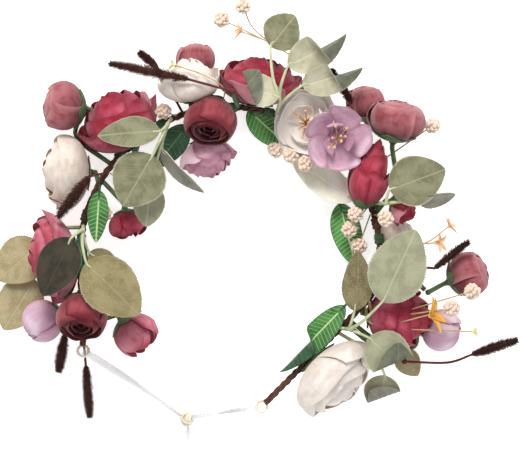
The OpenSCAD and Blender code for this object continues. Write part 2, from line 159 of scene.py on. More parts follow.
class Shape:
    """Vertices, faces and what the materials read at each vertex.

    pa is (across -1..1, along 0..1, piece number), pb is (layer, tone, 0) and pc is the place on
    the flat piece in millimetres.
    """

    def __init__(self):
        self.v, self.f, self.m, self.a, self.b, self.c = [], [], [], [], [], []
        self.count = 0

    def add(self, v, f, mat, a, b, c):
        n = len(v)
        self.v.append(np.asarray(v, float))
        for store, value in ((self.a, a), (self.b, b), (self.c, c)):
            store.append(np.broadcast_to(value, (n, 3)).copy())
        self.f.extend([tuple(int(i) + self.count for i in q) for q in f])
        self.m.extend(mat if hasattr(mat, "__len__") else [mat] * len(f))
        self.count += n

    def sheet(self, p, a, b, c, thick, mats=(0, 0)):
        """A grid of points as a thin closed sheet, its thickness in millimetres.

        Its front looks along du x dv. mats are the front's and the back's.
        """
        nv, nu, _ = p.shape
        du, dv = np.gradient(p, axis=1), np.gradient(p, axis=0)
        n = unit(np.cross(du, dv)) * thick * MM / 2
        i = np.arange(nv * nu).reshape(nv, nu)
        q = np.stack([i[:-1, :-1], i[:-1, 1:], i[1:, 1:], i[1:, :-1]], -1).reshape(-1, 4)
        rim = np.concatenate([i[0, :], i[1:, -1], i[-1, -2::-1], i[-2:0:-1, 0]])
        following = np.roll(rim, -1)
        k = nv * nu
        edge = np.stack([rim, rim + k, following + k, following], -1)
        mat = [mats[0]] * len(q) + [mats[1]] * len(q) + [mats[0]] * len(edge)
        twice = [np.vstack([np.broadcast_to(x, p.shape).reshape(-1, 3)] * 2) for x in (a, b, c)]
        both = np.vstack([(p + n).reshape(-1, 3), (p - n).reshape(-1, 3)])
        self.add(both, np.vstack([q, q[:, ::-1] + k, edge]), mat, *twice)

    def tube(self, pts, r, sides=8, mat=0, number=0.0):
        """A closed tube. r is one radius or one for each point, in millimetres."""
        pts = np.asarray(pts, float)
        n = len(pts)
        r = np.broadcast_to(np.asarray(r, float) * MM, (n,))
        t = unit(np.gradient(pts, axis=0))
        side = unit(np.cross(t[0], [0.31, 0.17, 0.93]))
        w = np.linspace(0, 2 * math.pi, sides, endpoint=False)[:, None]
        rings = []
        for i in range(n):
            side = unit(side - t[i] * np.dot(side, t[i]))
            rings.append(pts[i] + r[i] * (np.cos(w) * side + np.sin(w) * np.cross(t[i], side)))
        v = np.vstack(rings + [pts[:1], pts[-1:]])
        turns = [(j, (j + 1) % sides) for j in range(sides)]
        f = [(i + j, i + k, i + sides + k, i + sides + j)
             for i in range(0, (n - 1) * sides, sides) for j, k in turns]
        for j, k in turns:
            f += [(n * sides, k, j), (n * sides + 1, (n - 1) * sides + j, (n - 1) * sides + k)]
        length = np.concatenate([[0], np.cumsum(np.linalg.norm(np.diff(pts, axis=0), axis=1))])
        along = np.r_[np.repeat(length, sides), 0, length[-1]]
        across = np.r_[np.tile(np.linspace(0, 1, sides, endpoint=False), n), 0, 0]
        numbers = np.full(len(v), number)
        self.add(v, f, mat, np.c_[across, along / max(length[-1], 1e-9), numbers], 0,
                 np.c_[across, along / MM, numbers])

    def ball(self, centre, r, mat=0, number=0.0, steps=(8, 6), squash=(1, 1, 1)):
        """A sphere, or with squash an ellipsoid, of a radius in millimetres."""
        across, up = steps
        th = np.linspace(0, math.pi, up + 1)[1:-1]
        ph = np.linspace(0, 2 * math.pi, across, endpoint=False)
        v = [[math.sin(t) * math.cos(p), math.sin(t) * math.sin(p), math.cos(t)] for t in th for p in ph]
        v = np.array(v + [[0, 0, 1], [0, 0, -1]])
        turns = [(j, (j + 1) % across) for j in range(across)]
        f = [(i + j, i + across + j, i + across + k, i + k) for i in range(0, (up - 2) * across, across)
             for j, k in turns]
        top, low = len(v) - 2, len(v) - 1
        for j, k in turns:
            f += [(top, j, k), (low, (up - 2) * across + k, (up - 2) * across + j)]
        self.add(np.asarray(centre) + v * r * MM * np.array(squash), f, mat,
                 np.c_[v[:, 0], (v[:, 2] + 1) / 2, np.full(len(v), number)], 0, v * r)

    def make(self, name, materials, body=None, replaces=(), slot=None, sharp=50):
        me = bpy.data.meshes.new(name)
        me.from_pydata(np.vstack(self.v).tolist(), [], self.f)
        for key, store in (("pa", self.a), ("pb", self.b), ("pc", self.c)):
            me.attributes.new(key, "FLOAT_VECTOR", "POINT").data.foreach_set(
                "vector", np.vstack(store).astype(np.float32).ravel())
        for m in materials:
            me.materials.append(m)
        me.polygons.foreach_set("material_index", np.array(self.m, dtype=np.int32))
        me.polygons.foreach_set("use_smooth", np.ones(len(self.f), dtype=bool))
        me.update()
        me.set_sharp_from_angle(angle=math.radians(sharp))
        ob = bpy.data.objects.new(name, me)
        bpy.context.collection.objects.link(ob)
        if body:
            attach(ob, body)
        if replaces:
            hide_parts(*replaces)
        return ob


# ---- materials
def rgb(code):
    """A display colour such as B33A5A, as the linear colour that a shader takes."""
    c = [int(code[i:i + 2], 16) / 255 for i in (0, 2, 4)]
    return tuple(x / 12.92 if x <= 0.04045 else ((x + 0.055) / 1.055) ** 2.4 for x in c) + (1,)


class Graph:
    """A material's nodes, with the sums that these materials share."""

    def __init__(self, name, rough=0.8, sheen=0.0, sub=0.0, spec=0.3, alpha=1.0):
        self.mat = bpy.data.materials.new(name)
        self.mat.use_nodes = True
        self.t = self.mat.node_tree
        self.s = self.t.nodes["Principled BSDF"]
        self.s.inputs["Roughness"].default_value = rough
        self.s.inputs["Sheen Weight"].default_value = sheen
        self.s.inputs["Sheen Roughness"].default_value = 0.4
        self.s.inputs["Specular IOR Level"].default_value = spec
        self.s.inputs["Subsurface Weight"].default_value = sub
        self.s.inputs["Subsurface Radius"].default_value = (1, 0.6, 0.5)
        self.s.inputs["Subsurface Scale"].default_value = 0.002
        self.s.inputs["Alpha"].default_value = alpha

    def node(self, kind, *values):
        """A new node with its first inputs filled."""
        n = self.t.nodes.new("ShaderNode" + kind)
        for i, value in enumerate(values):
            self.put(n.inputs[i], value)
        return n

    def put(self, socket, value):
        if isinstance(value, bpy.types.NodeSocket):
            self.t.links.new(value, socket)
        else:
            socket.default_value = value

    def read(self, key):
        n = self.node("Attribute")
        n.attribute_name = key
        return self.node("SeparateXYZ", n.outputs["Vector"]).outputs[:]

    def maths(self, op, a, b=0.0):
        n = self.node("Math", a, b)
        n.operation = op
        return n.outputs[0]

    def mul(self, a, b):
        return self.maths("MULTIPLY", a, b)

    def add(self, a, b):
        return self.maths("ADD", a, b)

    def less(self, a, b):
        return self.maths("SUBTRACT", a, b)

    def more(self, a, b):
        return self.maths("MAXIMUM", a, b)

    def size(self, a):
        return self.maths("ABSOLUTE", a)

    def xyz(self, x, y, z):
        return self.node("CombineXYZ", x, y, z).outputs[0]

    def span(self, x, low, high):
        """0 at low, 1 at high."""
        n = self.node("MapRange", x, low, high)
        n.interpolation_type = "SMOOTHSTEP"
        return n.outputs[0]

    def mix(self, share, a, b):
        n = self.node("Mix", share)
        n.data_type = "RGBA"
        self.put(n.inputs[6], a)
        self.put(n.inputs[7], b)
        return n.outputs[2]

    def noise(self, where, scale, detail):
        n = self.node("TexNoise", where)
        n.inputs["Scale"].default_value = scale
        n.inputs["Detail"].default_value = detail
        n.inputs["Roughness"].default_value = 0.55
        return n.outputs["Fac"]

    def grain(self, across, along, shift, detail):
        """Noise of size 1 on a place that is already stretched."""
        return self.noise(self.xyz(across, along, shift), 1, detail)

    def weave(self, across, along, pitch=0.45):
        """Plain weave: threads over and under, pitch in millimetres."""
        k = 2 * math.pi / pitch
        return self.mul(self.maths("SINE", self.mul(across, k)), self.maths("SINE", self.mul(along, k)))

    def finish(self, colour, height=None, strength=0.3, distance=0.4):
        """Joins the colour, and the height as a bump of a distance in millimetres."""
        self.put(self.s.inputs["Base Color"], colour)
        if height is not None:
            b = self.node("Bump")
            b.inputs["Strength"].default_value = strength
            b.inputs["Distance"].default_value = distance * MM
            self.put(b.inputs["Height"], height)
            self.put(self.s.inputs["Normal"], b.outputs[0])
        return self.mat


def petal_cloth(name, codes, rim_share=0.75, sub=0.12):
    """Dyed fabric petal: streaks from base to rim, a darker or lighter edge, a fine weave, and painted shade
    that darkens the inner layers and each petal's foot.

    codes are the colours of the painted shade at the heart, the cloth's two tones, the rim and a paled petal.
    """
    heart_shade, mid, light, rim, pale = map(rgb, codes.split())
    g = Graph(name, rough=0.85, sheen=0.25, sub=sub, spec=0.2)
    u, v, number = g.read("pa")
    layer, tone, _ = g.read("pb")
    across, along, _ = g.read("pc")
    shift = g.mul(number, 13.7)
    streak = g.grain(g.mul(across, 0.9), g.mul(along, 0.1), shift, 4)
    cloud = g.grain(g.mul(across, 0.09), g.mul(along, 0.09), shift, 2)
    veins = g.grain(g.mul(across, 2.2), g.mul(along, 0.16), shift, 2)
    colour = g.mix(g.span(g.add(g.mul(streak, 0.25), g.mul(cloud, 0.75)), 0.36, 0.62), mid, light)
    # painted shade: inner layers and the foot of each petal darken towards the heart colour
    colour = g.mix(g.span(layer, 0.75, 0.10), colour, heart_shade)
    colour = g.mix(g.mul(g.span(v, 0.80, 0.15), 0.7), colour, heart_shade)
    end = g.span(g.add(v, g.mul(g.less(streak, 0.5), 0.10)), 0.78, 0.98)
    side = g.span(g.add(g.size(u), g.mul(g.less(cloud, 0.5), 0.16)), 0.74, 1.0)
    colour = g.mix(g.mul(g.more(end, side), rim_share), colour, rim)
    colour = g.mix(tone, colour, pale)
    height = g.add(g.mul(veins, 0.8), g.mul(g.weave(across, along), 0.16))
    return g.finish(colour, g.add(height, g.mul(cloud, 0.9)), 0.5, 0.6)


def leaf_cloth(name, codes, vein_share=0.6, speck_share=0.25, pitch=4.2, slope=0.6, comb=False, rough=0.75,
               shade=0.0, spec=0.25):
    """Printed fabric leaf: midrib, side veins, mottling, and a darker cut edge.

    codes are the colours of the cloth's two tones, the veins, the edge and the specks. A combed
    leaf's side veins run straight to the edge; shade is how much painted shade darkens one half.
    """
    face, light, vein, edge, speck = map(rgb, codes.split())
    g = Graph(name, rough=rough, sheen=0.12, spec=spec, sub=0.05)
    u, v, number = g.read("pa")
    across, along, _ = g.read("pc")
    place = g.xyz(across, along, g.mul(number, 9.1))
    fine = g.noise(place, 1.6, 2)
    away = g.size(across)
    bend = g.mul(g.less(g.noise(place, 0.2, 1), 0.5), 0.0 if comb else 2.5)
    phase = g.add(g.less(along, g.mul(away, slope)), bend)
    line = g.size(g.less(g.maths("FRACT", g.maths("DIVIDE", phase, pitch)), 0.5))
    side = g.span(line, 0.10 if comb else 0.055, 0.02)
    if not comb:
        side = g.mul(side, g.span(g.size(u), 0.95, 0.45))
    rib = g.span(away, 0.75, 0.25)
    colour = g.mix(g.span(g.noise(place, 0.12, 3), 0.36, 0.64), face, light)
    colour = g.mix(g.mul(g.span(fine, 0.52, 0.66), speck_share), colour, speck)
    # painted shade: one half of the blade darkens towards the edge colour
    if shade:
        colour = g.mix(g.mul(g.span(across, -0.6, 0.6), shade), colour, edge)
    colour = g.mix(g.mul(g.more(g.mul(side, 0.75), rib), vein_share), colour, vein)
    cut = g.more(g.span(g.size(u), 0.93, 0.99), g.span(v, 0.985, 1.0))
    colour = g.mix(g.mul(cut, 0.55), colour, edge)
    height = g.add(g.mul(g.more(side, rib), -0.9), g.mul(fine, 0.35))
    return g.finish(colour, g.add(height, g.mul(g.weave(across, along, 0.5), 0.14)), 0.55, 0.5)


def plain_stem(name, codes, rough=0.7, scale=1.0, stripe=0.0, sheen=0.0):
    """Stems, twigs and tape: a length-wise grain with mottling, and with a stripe the tape's overlaps."""
    low, high = map(rgb, codes.split())
    g = Graph(name, rough=rough, sheen=sheen, spec=0.3)
    across, along, number = g.read("pc")
    ring = g.mul(across, 2 * math.pi)
    place = g.xyz(g.mul(g.maths("SINE", ring), 2.2), g.mul(g.maths("COSINE", ring), 2.2),
                  g.add(g.mul(along, 0.35), g.mul(number, 5.0)))
    height = g.noise(place, 1.4 * scale, 5)
    cloud = g.noise(place, 0.35 * scale, 2)
    share = g.span(g.add(g.mul(height, 0.6), g.mul(cloud, 0.4)), 0.38, 0.62)
    if stripe:
        wrap = g.maths("FRACT", g.less(g.maths("DIVIDE", along, stripe), across))
        height = g.add(height, g.mul(wrap, 2.0))
        share = g.mul(share, g.span(wrap, 0.0, 0.25))
    return g.finish(g.mix(share, low, high), height, 0.5, 0.6)


def organza(name, codes, alpha):
    """Sheer ribbon: fine threads, a woven edge, soft shine, and painted shade along its folds."""
    colour, shade = map(rgb, codes.split())
    g = Graph(name, rough=0.4, sheen=0.3, spec=0.5, alpha=alpha)
    u, _, _ = g.read("pa")
    across, along, _ = g.read("pc")
    fold = g.grain(g.mul(across, 0.35), g.mul(along, 0.05), 0.0, 2)
    # the second colour is painted shade where the fold noise is low, and also the woven edge's own darker tone
    share = g.more(g.span(fold, 0.55, 0.40), g.mul(g.span(g.size(u), 0.9, 0.97), 0.35))
    height = g.add(g.weave(across, along, 0.6), g.mul(fold, 3.0))
    return g.finish(g.mix(share, colour, shade), height, 0.25, 0.3)


RED = petal_cloth("red_petal_cloth", "640C1E A93249 C66077 86152A DCA0AC")
ROSY = petal_cloth("rosy_petal_cloth", "84203A BA5166 D28896 98293F E0AAB4")
CRIMSON = petal_cloth("crimson_petal_cloth", "5A0918 9E283C B84E62 781023 D696A2")
BUD = petal_cloth("bud_petal_cloth", "3C0A11 853A41 A9666C BC8488 CF9FA0", 0.55)
DARK_BUD = petal_cloth("dark_bud_petal_cloth", "420A12 7E2C36 9E4A52 5C1620 B46C70")
CREAM = petal_cloth("cream_petal_cloth", "BCA292 D3C1B4 E9DCD1 E3D5CA F0E6DE", 0.45, 0.2)
WHITE = petal_cloth("white_petal_cloth", "D6C2B5 E0D1C6 F3E9E1 F0E5DC F6EEE8", 0.45, 0.2)
IVORY = petal_cloth("ivory_petal_cloth", "F0E3DA F5EBE3 FCF7F3 F6ECE4 FBF6F2", 0.35, 0.2)
LILAC = petal_cloth("lilac_petal_cloth", "B27C96 CBA4BA E2C8D6 B57C94 E8D6E0", sub=0.18)
PINK = petal_cloth("pink_petal_cloth", "B0708A D89FB7 E8C0D2 BA748E ECCFDB", sub=0.18)

SAGE = leaf_cloth("sage_leaf_cloth", "6F6F55 89896D A3A586 C6C3A8 9C9876", speck_share=0.35)
LIGHT_SAGE = leaf_cloth("light_sage_leaf_cloth", "8D8E76 A1A287 B7B99C CAC8B0 AEA989", speck_share=0.35)
KHAKI = leaf_cloth("khaki_leaf_cloth", "7E7552 948A65 AAA27D B2A684 B0A37A", 0.4, 0.45)
PALE = leaf_cloth("pale_leaf_cloth", "9A9069 B0A683 C0B894 8A7F5C CEC39E", 0.35, 0.6)
MIST = leaf_cloth("mist_leaf_cloth", "A9A78C C0BDA4 D2D0BA DDD9C6 CDC8AE", 0.5, 0.35)
FROST = leaf_cloth("frosted_leaf_cloth", "DBDAC6 E9E8DA F4F3EA F6F4EA E8E5D4", 0.5, 0.3)
# a sage leaf lying in shadow: its olive colour is darkened with painted shade
SHADED_OLIVE = leaf_cloth("shaded_olive_leaf_cloth", "2C2922 413B30 544D3C 544C3C 4E4836", 0.3, 0.3)
SPECKLED = leaf_cloth("speckled_leaf_cloth", "6E674A 8A8262 968F6E 57523C B0A37C", 0.4, 0.7)
GREY = leaf_cloth("grey_leaf_back", "8A8B7E A0A092 AFB0A1 B9B8A8 9A9A8C", 0.5, 0.2)
DARK_GREY = leaf_cloth("dark_grey_leaf_back", "5A5C50 70725F 82846F A3A48C 6A6C5C", 0.4, 0.2)
GREEN = leaf_cloth("veined_green_leaf", "2F7634 529848 BFDFA4 1B4224 58A04C", 0.95, 0.15, 2.6, 0.45,
                   comb=True, rough=0.5, shade=0.35, spec=0.4)
DARK_GREEN = leaf_cloth("dark_green_leaf", "1D4229 2A5637 6E9A70 142B1C 2E5C3B", 0.45, 0.1, 3.4, 0.6,
                        comb=True, rough=0.5, spec=0.4)
TWIG = plain_stem("twig_paper", "35201A 6A4A3C", 0.85)
BARK_WRAP = plain_stem("bark_wrap", "3A2722 66493D", 0.9, stripe=2.2)
TAPE = plain_stem("floral_tape_paper", "31472F 4E6B49", 0.85, stripe=2.6)
STEM = plain_stem("moulded_green_stem", "3D5535 5E7A4F", 0.55)
SAGE_STEM = plain_stem("sage_leaf_stem", "A6AD86 C9CEAB", 0.6)
BRISTLE = plain_stem("bristle_fibre", "24100E 5A3228", 0.8, 2.0)
SPIKE_STEM = plain_stem("spike_stem", "4A1B1B 6E2F2B", 0.6)
GOLD_STEM = plain_stem("gold_stem", "A98A58 D3BC8C", 0.5)
BERRY = plain_stem("foam_grain", "E3C5AE F7E9DC", 0.9, 3.0, sheen=0.2)
STAR_GOLD = plain_stem("gold_star_petal", "D79A33 F2C469", 0.6)
STAR_PALE = plain_stem("pale_star_petal", "E8D98A F8F0BF", 0.6)
STAR_PEACH = plain_stem("peach_star_petal", "E8AE7E F7D3AD", 0.6)
ORGANZA = organza("organza_ribbon", "FFFFFF F4F5F8", 0.32)
KNOT = organza("organza_knot", "F3EBDF D8C3A2", 0.95)

floor_mat = Graph("studio_floor", rough=0.9, spec=0.1)
paper = floor_mat.noise(floor_mat.node("TexCoord").outputs["Object"], 3.0, 2)
floor_mat.finish(floor_mat.mix(paper, (0.93, 0.93, 0.93, 1), (0.95, 0.95, 0.95, 1)))
floor_mat.s.inputs["Emission Color"].default_value = (1, 1, 1, 1)
floor_mat.s.inputs["Emission Strength"].default_value = FLOOR_GLOW
bpy.ops.mesh.primitive_plane_add(size=6, location=(0, 0, -0.4 * MM))
floor = bpy.context.object
floor.name = "studio_floor"
floor.data.materials.append(floor_mat.mat)


# ---- petals and blooms
PETAL_FOOT = 172            # where petals start, from the bloom's facing
TABLE_GAP = 0.4
NEXT_LAYER = 137.5          # how far a layer of petals is turned from the one inside it
PETAL_FIT = 0.97            # petals stay this far inside the bloom's radius and depth
STEM_R, LEAF_STEM_R, TWIG_R = 1.5, 1.2, 0.8
FOOT_R = 1.9                # the bead on which a posable stem turns
CALYX_NECK, SEPALS = 3, 5
STAMENS = {"single": 22, "open": 9}


def petal(shape, bloom, phi, half, top, s=1.0, h=1.0, foot=PETAL_FOOT, flare=0.0, curl=0.0, ruffle=0.0,
          point=0.0, twist=0.06, tone=0.0, size=(13, 13), thick=0.35):
    """One cupped petal on a bloom's ellipsoid. Angles are from the bloom's facing, in degrees.

    s is the layer's share of the radius, h its share of the height, top where the rim reaches and
    half the petal's half width round the bloom.
    """
    centre, frame3, a, d = bloom
    v, u = grid(*size)
    side = np.abs(u)
    ve = v * (1 - point * side ** 1.4 - (0.05 if point else 0.16) * side ** 4)
    width = 0.34 + 0.66 * np.sin(np.minimum(ve / 0.62, 1) * math.pi / 2)
    width = width * (1 - 0.12 * np.maximum(ve - 0.7, 0) / 0.3)
    theta = np.radians(foot + (top - foot) * ve)
    phases = rng.uniform(0, 2 * math.pi, 5)
    wave = (np.sin(u * 3.1 + phases[0]) * 0.5 + np.sin(u * 6.3 + phases[1]) * 0.35
            + np.sin(u * 11.0 + phases[2]) * 0.25)
    lift = ve ** 4
    rim = np.maximum(ve - 0.78, 0) / 0.22
    angle = math.radians(phi) + math.radians(half) * width * u / np.maximum(np.sin(theta), 0.5)
    body = 0.02 * np.sin(u * 2.2 + ve * 4 + phases[3])
    rho = s * (1 + flare * ve ** 3 + curl * rim ** 1.5 + ruffle * wave * lift + twist * u + body)
    out = a * rho * np.sin(theta)
    z = d * ((1 + np.cos(theta)) * h - 1 - 0.8 * curl * rim ** 2
             + 1.2 * ruffle * lift * np.sin(u * 4.7 + phases[4]))
    p = fields(out * np.cos(angle), out * np.sin(angle), z) @ frame3.T + centre
    under = np.minimum(p[..., 2] - TABLE_GAP * MM, 0)
    p[..., 2] = np.maximum(p[..., 2], 3 * TABLE_GAP * MM + 0.1 * under)
    number = rng.uniform(0, 1)
    across = u * width * math.radians(half) * a * s / MM
    shape.sheet(p, fields(u, ve, number), (s, tone, 0), fields(across, ve * a * s * 2.2 / MM, number), thick)


# Layers from the heart outwards: count, s, h, top, half, flare, curl, ruffle, point
KINDS = {
    "peony": [(2, .20, .90, 10, 140, 0, 0, .02, 0), (3, .38, .92, 16, 84, 0, 0, .04, 0),
              (3, .56, .93, 26, 76, 0, .03, .05, 0), (4, .74, .93, 38, 62, .02, .05, .06, 0),
              (4, .90, .92, 54, 58, .05, .07, .06, 0), (5, 1.0, .90, 72, 48, .12, .08, .07, 0)],
    "rose": [(2, .18, .92, 8, 150, 0, 0, .01, 0), (3, .36, .94, 14, 84, 0, 0, .03, 0),
             (3, .56, .95, 26, 76, 0, .03, .04, 0), (3, .76, .94, 40, 72, .02, .05, .04, 0),
             (4, .92, .93, 56, 60, .05, .08, .05, 0), (4, 1.0, .91, 72, 56, .10, .09, .05, 0)],
    "cabbage": [(2, .20, .90, 8, 150, 0, 0, .02, 0), (3, .42, .93, 16, 84, 0, .02, .04, 0),
                (3, .64, .95, 30, 76, 0, .04, .05, 0), (4, .84, .95, 46, 66, .01, .05, .05, 0),
                (4, 1.0, .94, 62, 66, .02, .05, .05, 0)],
    "bud": [(2, .22, .93, 8, 150, 0, 0, 0, 0), (3, .44, .95, 12, 80, 0, .03, .02, 0),
            (3, .66, .97, 18, 74, 0, .06, .03, 0), (3, .84, .98, 26, 72, .01, .08, .03, .05),
            (3, 1.0, .99, 36, 66, .02, .09, .03, .08)],
    "whorl": [(2, .18, .66, 14, 150, 0, 0, .03, 0), (3, .40, .74, 22, 88, 0, .04, .06, 0),
              (3, .62, .84, 30, 80, 0, .06, .06, 0), (3, .82, .93, 36, 76, .01, .08, .05, 0),
              (4, 1.0, .98, 44, 62, .04, .09, .05, .08)],
    "loose": [(2, .24, .90, 8, 150, 0, 0, .04, 0), (3, .50, .92, 14, 76, 0, .02, .08, 0),
              (3, .78, .88, 30, 74, .02, .06, .10, 0), (4, 1.0, .80, 58, 62, .08, .08, .10, 0)],
    "rosebud": [(2, .20, .99, 6, 160, 0, 0, .02, 0), (3, .40, .98, 12, 90, 0, .05, .05, 0),
                (3, .60, .95, 20, 80, .02, .10, .07, 0), (3, .80, .88, 34, 74, .05, .14, .08, 0),
                (4, 1.0, .74, 56, 56, .08, .14, .08, 0)],
    "tulip": [(3, .55, .94, 12, 62, 0, 0, .01, .20), (3, .80, .97, 16, 66, 0, .01, .01, .26),
              (3, 1.0, .99, 26, 64, 0, .03, .02, .30)],
    "cup": [(3, .42, .86, 16, 60, 0, 0, .01, .22), (3, .72, .95, 30, 58, 0, .02, .02, .26),
            (4, 1.0, .99, 44, 48, .02, .03, .02, .30)],
    "open": [(3, .52, 1, 62, 34, 0, .03, .03, .10), (5, 1.0, 1, 84, 33, .03, .03, .03, .10)],
    "single": [(3, .60, 1, 62, 46, 0, .03, .06, 0), (4, .86, 1, 76, 50, .04, .04, .07, 0),
               (5, 1.0, 1, 90, 44, .10, .02, .07, 0)],
}

# Blooms: node, body, kind, material, [place], [facing azimuth, tilt], radius, half depth, calyx
# share, stem route; the facing is the visible whorl's, which a round bud may turn towards the sky
# more than its solid does
F, L, R = "front_frame", "left_arm", "right_arm"
BLOOMS = [
    ("red_rose_1", F, "peony", RED, [152, 111, 21.5], [140, 16], 24.5, 21, 0.3, [[150, 93, 24]]),
    ("red_rose_2", F, "peony", CRIMSON, [104, 112, 25.5], [108, 14], 24.5, 16.5, 0.3, [[104, 93, 24]]),
    ("red_rosebud", F, "rosebud", CRIMSON, [54, 101, 39.5], [98, 12], 12, 22.5, 0.5, [[49, 92, 25]]),
    ("small_red_tulip_1", F, "peony", CRIMSON, [38, 111, 36], [353, 5], 9, 9, 0.5, [[40, 95, 22]]),
    ("small_red_tulip_2", F, "cup", CRIMSON, [186, 67, 14], [303, 8], 12, 10, 0.5, [[172, 93, 24]]),
    ("cream_rose_1", F, "cabbage", CREAM, [176, 116, 20.5], [204, 12], 24, 16, 0.3, [[174, 93, 24]]),
    ("cream_rose_2", F, "loose", WHITE, [126, 113, 38.8], [118, 18], 19, 14.5, 0.3, [[124, 93, 24]]),
    ("cream_rose_3", F, "single", IVORY, [83, 94.5, 37.5], [203, 66], 21, 7.5, 0.4, [[79, 93, 24]]),
    ("burgundy_bud_1", F, "bud", BUD, [161, 139, 30], [198, 14], 15.5, 14, 0.6,
     [[158, 128, 12], [165, 122, 14], [165, 93, 24]]),
    ("burgundy_bud_2", F, "bud", BUD, [123, 125, 12.8], [116, 4], 12.5, 12, 0.5, [[119, 94, 23]]),
    ("burgundy_bud_3", F, "whorl", DARK_BUD, [121, 84, 43.5], [282, 36], 16, 15.5, 0.5, [[121, 92, 25]]),
    ("burgundy_bud_4", F, "bud", BUD, [72, 127, 27], [121, 14], 12, 11.5, 0.6, [[62, 93, 24]]),
    ("burgundy_bud_5", F, "bud", BUD, [62.5, 133, 42], [103, 12], 18, 13.5, 0.6,
     [[44, 110, 32], [42, 95, 23]]),
    ("lilac_tulip_1", F, "peony", PINK, [126, 62, 15.2], [308, 8], 16, 14, 0.4, [[128, 93, 24]]),
    ("lilac_tulip_2", F, "open", LILAC, [70.5, 98, 51.5], [303, 76], 19.5, 9, 0.4, [[66, 93, 24]]),
    ("red_rose_3", L, "rose", ROSY, [203, 111, 24], [213, 14], 26.5, 16.5, 0.3, [[200, 93, 24]]),
    ("lilac_tulip_3", L, "tulip", LILAC, [222, 124, 14], [233, 4], 13.5, 13.5, 0.4, [[217, 96, 24]]),
    ("burgundy_bud_6", L, "whorl", DARK_BUD, [225, 98, 42.5], [290, 36], 15.5, 15, 0.5, [[216, 96, 24]]),
    ("burgundy_bud_7", L, "cup", ROSY, [243, 76, 14.5], [338, 8], 14.5, 14, 0.6, [[228, 102, 24]]),
    ("cream_rose_4", R, "cabbage", CREAM, [30.5, 106, 14.5], [60, 12], 14, 11, 0.3, [[29, 93, 24]]),
    ("red_rose_4", R, "rose", RED, [3.8, 113.5, 20.5], [18, 14], 20.5, 22, 0.3, [[5, 88, 24]]),
    ("lilac_tulip_4", R, "tulip", LILAC, [4, 140, 13.4], [8, 4], 13.6, 13, 0.4,
     [[357, 128, 8], [353, 112, 8], [355, 84, 22]]),
    ("cream_rose_5", R, "cabbage", WHITE, [334, 100, 25.5], [337, 14], 28.5, 18, 0.3, [[338, 79, 24]]),
    ("right_bud", "right_bud", "bud", BUD, [19, 148, 31], [45, 12], 14, 13.5, 0.6, [[13, 124, 35]]),
]
# Fixed stems of the posable pieces, in the body that holds each
STUBS = {
    F: [[[110, 93, 24], [112, 101, 56]], [[90, 93, 22], [90, 126, 18]]],
    L: [[[231, 104, 24], [231, 104, 16.5]]],
    R: [[[353, 82.5, 22], [351, 110, 13], [352, 124.7, 10.5]],
        [[19, 93, 24], [18, 108, 28], [13.6, 121.7, 34.2]]],
}
SLOTS = {RED: "red_petal", ROSY: "red_petal", CRIMSON: "red_petal", BUD: "burgundy_petal",
         DARK_BUD: "burgundy_petal", CREAM: "cream_petal", WHITE: "cream_petal", IVORY: "cream_petal",
         LILAC: "lilac_petal", PINK: "lilac_petal"}

stems = {F: Shape(), L: Shape(), R: Shape(), "right_bud": Shape()}


def calyx(shape, bloom, share):
    """Cup, five sepals and the stem's first stretch; returns where the stem leaves."""
    centre, frame3, a, d = bloom
    out = frame3[:, 2]
    for i in range(SEPALS):
        petal(shape, (centre, frame3, a * 1.03, d * 1.03), 360 / SEPALS * i + 20, 33 * min(share + 0.35, 1),
              180 - 95 * share, foot=176, point=0.55, twist=0.02, size=(9, 7), thick=0.5, curl=0.04)
    neck = centre - out * (d + CALYX_NECK * MM)
    steps = np.linspace(0, 1, 6)
    pts = neck + out * (steps * (CALYX_NECK * MM + d * 0.12))[:, None]
    shape.tube(pts, STEM_R + (a / MM * share * 0.55 - STEM_R) * steps ** 1.6, 14)
    return neck


def stamens(shape, bloom, count):
    """Golden threads with peach heads."""
    centre, frame3, a, d = bloom
    for _ in range(count):
        phi, lean = rng.uniform(0, 2 * math.pi), rng.uniform(0.05, 0.5)
        tip = np.array([math.cos(phi) * lean * a, math.sin(phi) * lean * a, d * rng.uniform(0.35, 0.75)])
        base = np.array([0, 0, -0.5 * d])
        mid = (tip + base) / 2 * np.array([0.6, 0.6, 1])
        pts = smooth_route([centre + frame3 @ q for q in (base, mid, tip)], 4)
        shape.tube(pts, 0.35, 5, 1)
        shape.ball(pts[-1], 0.9, 2, rng.uniform(0, 1), steps=(6, 5), squash=(1, 1, 1.3))


def make_petals(name, body, kind, mat, bloom):
    shape = Shape()
    start = rng.uniform(0, 360)
    for count, s, h, top, half, flare, curl, ruffle, point in KINDS[kind]:
        start += NEXT_LAYER
        for i in range(count):
            paled = s > 0.95 and kind in ("peony", "rosebud") and i == 0
            petal(shape, bloom, start + 360 / count * i + rng.uniform(-5, 5), half, top + rng.uniform(-3, 3),
                  s * rng.uniform(0.98, 1.02), h, PETAL_FOOT, flare, curl, ruffle, point, tone=0.75 * paled)
    mats = [mat]
    if kind in STAMENS:
        mats += [GOLD_STEM, STAR_PEACH]
        centre, frame3, a, d = bloom
        shape.ball(centre - frame3[:, 2] * 0.80 * d, 0.26 * a / MM, steps=(16, 8))
        stamens(shape, bloom, STAMENS[kind])
    shape.make(name + "_petals", mats, body, [name], SLOTS[mat])


for name, body, kind, mat, place, (azimuth, tilt), radius, depth, share, route in BLOOMS:
    centre, frame3, a, d = spot(place), facing(azimuth, tilt), radius * MM, depth * MM
    make_petals(name, body, kind, mat, (centre, frame3, a * PETAL_FIT, d * PETAL_FIT))
    neck = calyx(stems[body], (centre, frame3, a, d), share)
    lead = frame3[:, 2] * MM
    pts = smooth_route([neck - lead, *[spot(q) for q in route]])
    stems[body].tube(np.vstack([neck + lead, pts]), STEM_R, 9, number=rng.uniform(0, 1))

